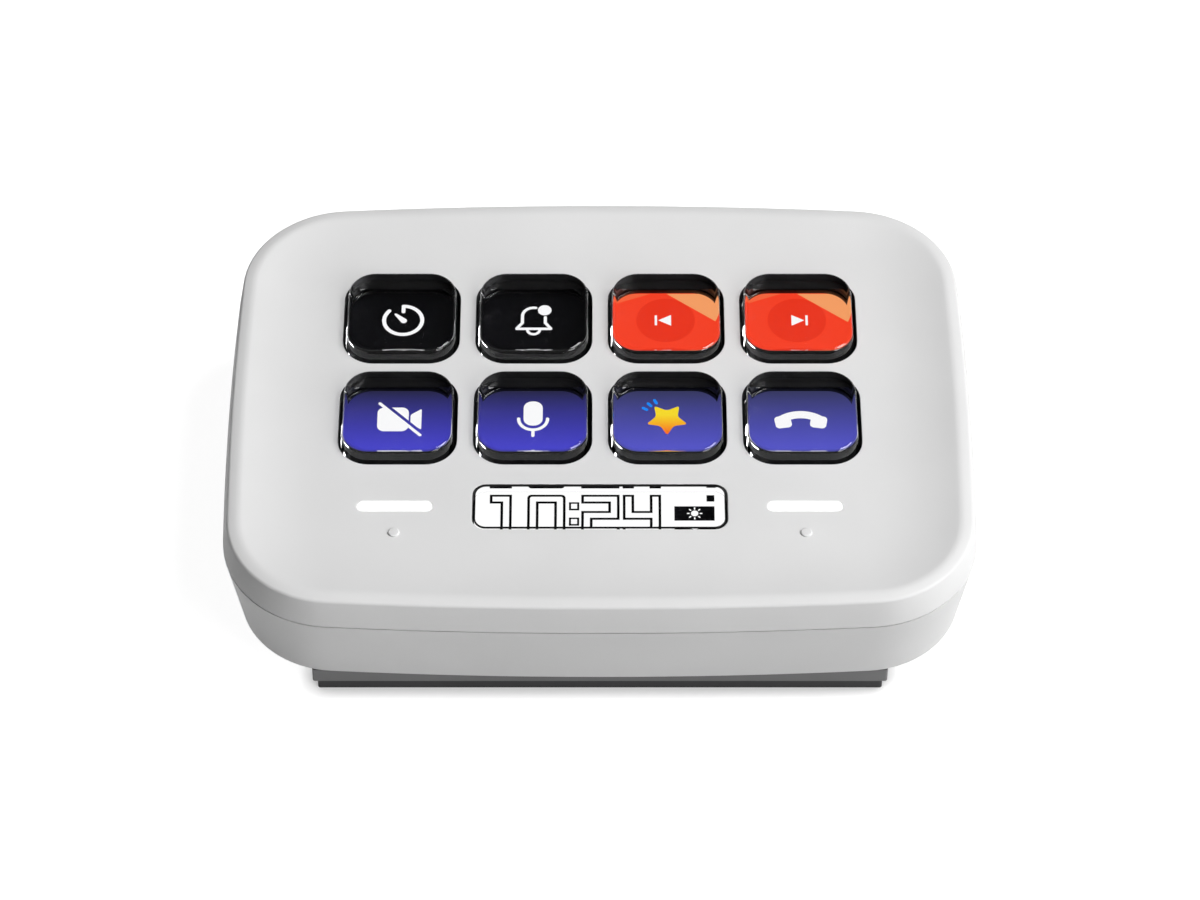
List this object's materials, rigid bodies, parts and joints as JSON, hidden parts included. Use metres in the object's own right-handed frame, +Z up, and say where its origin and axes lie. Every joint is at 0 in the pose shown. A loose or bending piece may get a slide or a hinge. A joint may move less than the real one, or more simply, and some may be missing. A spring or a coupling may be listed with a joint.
{
  "type": "macro_keypad",
  "caption": "Tilted desktop macro keypad in pale grey with clear display keys over one screen, an info window and two touch light bars on a wedge plinth",
  "frame": {"origin": "centre of the outline seen from above, on the surface that the foot pad rests on", "axes": "+X to the right along the key rows, +Y to the rear where the face is highest, +Z up"},
  "size_m": [0.107, 0.0786, 0.0268],
  "materials": {
    "shell": "fine_matt",
    "plinth": "matt",
    "rubber": "matt",
    "silicone": "matt",
    "clear_cap": "polished",
    "info_lens": "polished",
    "light_guide": "diffusing",
    "black_plastic": "satin",
    "foam": "matt",
    "circuit_board": "satin",
    "chips": "matt",
    "connector_plastic": "satin",
    "led_body": "gloss",
    "copper_film": "satin",
    "display_glass": "gloss",
    "steel": "satin"
  },
  "bodies": {
    "casing": {"upper_shell": "shell", "lower_shell": "shell", "base_plinth": "plinth", "foot_pad": "rubber", "key_mat": "silicone", "key_bellows_r1c1": "silicone", "key_bellows_r1c2": "silicone", "key_bellows_r1c3": "silicone", "key_bellows_r1c4": "silicone", "key_bellows_r2c1": "silicone", "key_bellows_r2c2": "silicone", "key_bellows_r2c3": "silicone", "key_bellows_r2c4": "silicone", "info_window": "info_lens", "light_bar_left": "light_guide", "light_bar_right": "light_guide", "display_carrier": "black_plastic", "usb_socket_tongue": "black_plastic", "window_gasket": "foam", "contact_board": "circuit_board", "main_board": "circuit_board", "board_chips": "chips", "flex_connectors": "connector_plastic", "bar_leds": "led_body", "touch_foil_left": "copper_film", "touch_foil_right": "copper_film", "touch_pin_left": "copper_film", "touch_pin_right": "copper_film", "contact_flex": "copper_film", "display_flex": "copper_film", "display_glass": "display_glass", "info_display": "display_glass", "display_backlight": "steel", "usb_socket_shell": "steel", "ballast_plate": "steel", "housing_screws": "steel", "carrier_screws": "steel", "board_screws": "steel", "plinth_screws": "steel"},
    "key_r1c1": {"key_cap_r1c1": "clear_cap", "key_collar_r1c1": "black_plastic"},
    "key_r1c2": {"key_cap_r1c2": "clear_cap", "key_collar_r1c2": "black_plastic"},
    "key_r1c3": {"key_cap_r1c3": "clear_cap", "key_collar_r1c3": "black_plastic"},
    "key_r1c4": {"key_cap_r1c4": "clear_cap", "key_collar_r1c4": "black_plastic"},
    "key_r2c1": {"key_cap_r2c1": "clear_cap", "key_collar_r2c1": "black_plastic"},
    "key_r2c2": {"key_cap_r2c2": "clear_cap", "key_collar_r2c2": "black_plastic"},
    "key_r2c3": {"key_cap_r2c3": "clear_cap", "key_collar_r2c3": "black_plastic"},
    "key_r2c4": {"key_cap_r2c4": "clear_cap", "key_collar_r2c4": "black_plastic"}
  },
  "joints": [
    {"name": "key_r1c1_press", "type": "slide", "parent": "casing", "child": "key_r1c1", "axis": [0, 0.0715, -0.9974], "range_m": [0, 0.001], "stiffness_N_per_m": 500, "deforming": ["key_bellows_r1c1"]},
    {"name": "key_r1c2_press", "type": "slide", "parent": "casing", "child": "key_r1c2", "axis": [0, 0.0715, -0.9974], "range_m": [0, 0.001], "stiffness_N_per_m": 500, "deforming": ["key_bellows_r1c2"]},
    {"name": "key_r1c3_press", "type": "slide", "parent": "casing", "child": "key_r1c3", "axis": [0, 0.0715, -0.9974], "range_m": [0, 0.001], "stiffness_N_per_m": 500, "deforming": ["key_bellows_r1c3"]},
    {"name": "key_r1c4_press", "type": "slide", "parent": "casing", "child": "key_r1c4", "axis": [0, 0.0715, -0.9974], "range_m": [0, 0.001], "stiffness_N_per_m": 500, "deforming": ["key_bellows_r1c4"]},
    {"name": "key_r2c1_press", "type": "slide", "parent": "casing", "child": "key_r2c1", "axis": [0, 0.0715, -0.9974], "range_m": [0, 0.001], "stiffness_N_per_m": 500, "deforming": ["key_bellows_r2c1"]},
    {"name": "key_r2c2_press", "type": "slide", "parent": "casing", "child": "key_r2c2", "axis": [0, 0.0715, -0.9974], "range_m": [0, 0.001], "stiffness_N_per_m": 500, "deforming": ["key_bellows_r2c2"]},
    {"name": "key_r2c3_press", "type": "slide", "parent": "casing", "child": "key_r2c3", "axis": [0, 0.0715, -0.9974], "range_m": [0, 0.001], "stiffness_N_per_m": 500, "deforming": ["key_bellows_r2c3"]},
    {"name": "key_r2c4_press", "type": "slide", "parent": "casing", "child": "key_r2c4", "axis": [0, 0.0715, -0.9974], "range_m": [0, 0.001], "stiffness_N_per_m": 500, "deforming": ["key_bellows_r2c4"]}
  ]
}
